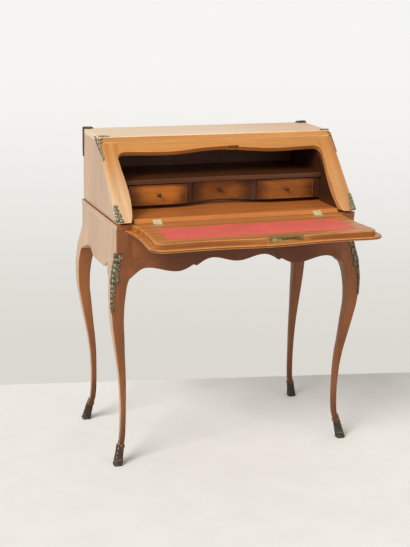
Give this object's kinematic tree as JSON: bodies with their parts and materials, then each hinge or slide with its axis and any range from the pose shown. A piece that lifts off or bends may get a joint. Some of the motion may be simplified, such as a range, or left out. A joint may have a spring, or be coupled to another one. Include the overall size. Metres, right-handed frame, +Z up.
{
  "type": "slant-front desk",
  "caption": "Slant-front writing desk on cabriole legs with a leather-lined fall front, shaped apron, small inner drawers, a lock with its key and bronze mounts.",
  "frame": {"origin": "floor level, under the middle of the outer box with the fall front open", "axes": "+Z up, the front faces -Y, +X to the right of someone who faces the front"},
  "size_m": [0.788, 0.6851, 0.9536],
  "materials": {
    "wood": "worn French polish",
    "pale_wood": "faded French polish",
    "dark_wood": "satin polish",
    "drawer_wood": "bare wood",
    "leather": "worn red skiver",
    "bronze": "dull cast bronze",
    "brass": "tarnished brass",
    "steel": "plain steel"
  },
  "bodies": {
    "case": {"apron_front": "wood", "apron_left": "pale_wood", "apron_right": "pale_wood", "back_panel": "dark_wood", "back_rail": "wood", "case_floor": "wood", "divider_left": "dark_wood", "divider_right": "dark_wood", "drawer_bearer": "dark_wood", "end_panel_left": "dark_wood", "end_panel_right": "dark_wood", "front_stile_left": "wood", "front_stile_right": "wood", "front_top_rail": "wood", "hinge_leaf_floor_left": "brass", "hinge_leaf_floor_right": "brass", "hinge_pin_left": "steel", "hinge_pin_right": "steel", "inner_floor": "wood", "knee_mount_left": "bronze", "knee_mount_right": "bronze", "leg_back_left": "wood", "leg_back_right": "wood", "leg_front_left": "wood", "leg_front_right": "wood", "lining_left": "dark_wood", "lining_right": "dark_wood", "sabot_back_left": "bronze", "sabot_back_right": "bronze", "sabot_front_left": "bronze", "sabot_front_right": "bronze", "shelf": "dark_wood", "side_panel_left": "pale_wood", "side_panel_right": "pale_wood", "stile_mount_left": "bronze", "stile_mount_right": "bronze", "strike_plate": "brass", "top_board": "pale_wood", "top_mount_back_left": "bronze", "top_mount_back_right": "bronze", "top_mount_front_left": "bronze", "top_mount_front_right": "bronze"},
    "lid": {"lid_board": "wood", "lid_leather": "leather", "lock": "brass", "escutcheon": "brass", "hinge_leaf_lid_left": "brass", "hinge_leaf_lid_right": "brass"},
    "lock_bolt": {"lock_bolt": "steel"},
    "key": {"key": "brass"},
    "drawer_left": {"drawer_front_left": "dark_wood", "drawer_box_left": "drawer_wood", "drawer_knob_left": "dark_wood"},
    "drawer_middle": {"drawer_front_middle": "dark_wood", "drawer_box_middle": "drawer_wood", "drawer_knob_middle": "dark_wood"},
    "drawer_right": {"drawer_front_right": "dark_wood", "drawer_box_right": "drawer_wood", "drawer_knob_right": "dark_wood"}
  },
  "joints": [
    {"name": "lid_fall", "type": "hinge", "parent": "case", "child": "lid", "pos_m": [0, -0.07484, 0.7285], "axis": [-1, 0, 0], "range_deg": [0, 134.59]},
    {"name": "drawer_pull_left", "type": "slide", "parent": "case", "child": "drawer_left", "axis": [0, 1, 0], "range_m": [-0.13, 0]},
    {"name": "drawer_pull_middle", "type": "slide", "parent": "case", "child": "drawer_middle", "axis": [0, 1, 0], "range_m": [-0.11, 0]},
    {"name": "drawer_pull_right", "type": "slide", "parent": "case", "child": "drawer_right", "axis": [0, 1, 0], "range_m": [-0.13, 0]},
    {"name": "key_turn", "type": "hinge", "parent": "lid", "child": "key", "pos_m": [0.02, -0.29811, 0.7085], "axis": [0, 0, 1], "range_deg": [0, 180]},
    {"name": "bolt_throw", "type": "slide", "parent": "lid", "child": "lock_bolt", "axis": [0, -1, 0], "range_m": [0, 0.013]}
  ],
  "couplings": [
    {"joint": "key_turn", "follows": "bolt_throw", "rad_per_m": 236.8}
  ]
}
